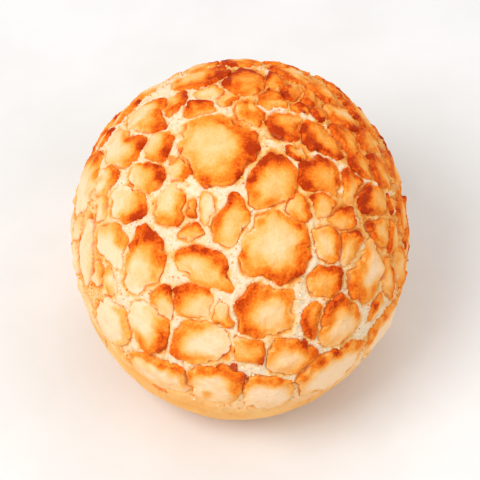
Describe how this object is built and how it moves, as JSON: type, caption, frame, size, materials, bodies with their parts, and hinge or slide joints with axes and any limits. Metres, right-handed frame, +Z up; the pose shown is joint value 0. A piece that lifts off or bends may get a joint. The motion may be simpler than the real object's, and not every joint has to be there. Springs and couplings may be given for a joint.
{
  "type": "tiger bread roll",
  "caption": "Round, high wheat bread roll under a crackled, browned rice-paste crust of raised plates, on a flat base.",
  "frame": {"origin": "centre of the bounding box, on the plane of the flat base", "axes": "+Z up from the base to the crown, -Y to the front that the picture shows, +X to its right"},
  "size_m": [0.1008, 0.1144, 0.0846],
  "materials": {
    "crackle_crust": "dry, matte baked crust: pale cream in the middle of each plate, orange to red-brown at its rim",
    "crack_floor": "matte, slightly crumbly cream crumb in the cracks, pale golden on the plain side and base"
  },
  "bodies": {
    "root": {"tiger_roll": "crackle_crust"}
  },
  "joints": []
}
